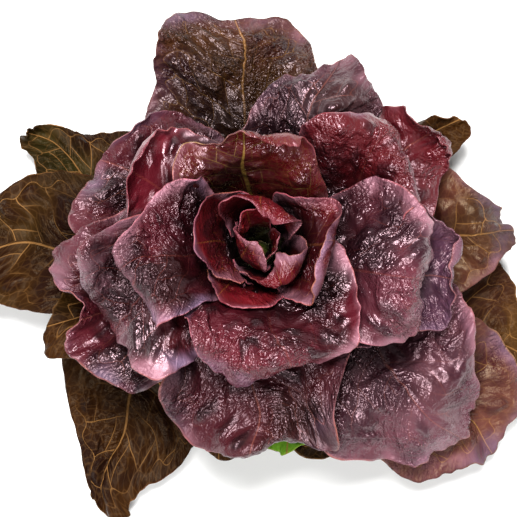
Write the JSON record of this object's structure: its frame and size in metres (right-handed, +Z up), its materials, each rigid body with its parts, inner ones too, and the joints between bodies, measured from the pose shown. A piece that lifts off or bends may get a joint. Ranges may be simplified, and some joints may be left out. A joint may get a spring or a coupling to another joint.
{
  "type": "romaine lettuce head",
  "caption": "Open rosette of a red romaine lettuce: broad ruffled leaves in nested rings round a short cut stem, bronze outside and crimson at the heart.",
  "frame": {"origin": "middle of the cut face of the stem, on the surface that the head rests on", "axes": "+Z up along the stem towards the heart; +X to the picture's right and +Y to its top"},
  "size_m": [0.3633, 0.3169, 0.1319],
  "materials": {
    "outer_leaf": "glossy blistered leaf, bronze green with tan veins",
    "middle_leaf": "glossy blistered leaf, dull purple with a mauve bloom",
    "inner_leaf": "glossy blistered leaf, maroon with a pink rim",
    "heart_leaf": "glossy leaf, crimson over a pale green base",
    "cut_stem": "moist pale green cut stem, slightly browned"
  },
  "bodies": {
    "root": {"outer_leaf_01": "outer_leaf", "outer_leaf_02": "outer_leaf", "outer_leaf_03": "outer_leaf", "outer_leaf_04": "outer_leaf", "outer_leaf_05": "outer_leaf", "outer_leaf_06": "outer_leaf", "outer_leaf_07": "outer_leaf", "outer_leaf_08": "outer_leaf", "outer_leaf_09": "outer_leaf", "outer_leaf_10": "outer_leaf", "outer_leaf_11": "outer_leaf", "outer_leaf_12": "outer_leaf", "outer_leaf_13": "outer_leaf", "middle_leaf_01": "middle_leaf", "middle_leaf_02": "middle_leaf", "middle_leaf_03": "middle_leaf", "middle_leaf_04": "middle_leaf", "middle_leaf_05": "middle_leaf", "middle_leaf_06": "middle_leaf", "middle_leaf_07": "middle_leaf", "inner_leaf_01": "inner_leaf", "inner_leaf_02": "inner_leaf", "inner_leaf_03": "inner_leaf", "inner_leaf_04": "inner_leaf", "inner_leaf_05": "inner_leaf", "inner_leaf_06": "inner_leaf", "inner_leaf_07": "inner_leaf", "heart_leaf_01": "heart_leaf", "heart_leaf_02": "heart_leaf", "heart_leaf_03": "heart_leaf", "heart_leaf_04": "heart_leaf", "heart_leaf_05": "heart_leaf", "heart_leaf_06": "heart_leaf", "heart_leaf_07": "heart_leaf", "heart_leaf_08": "heart_leaf", "stem": "cut_stem"}
  },
  "joints": []
}
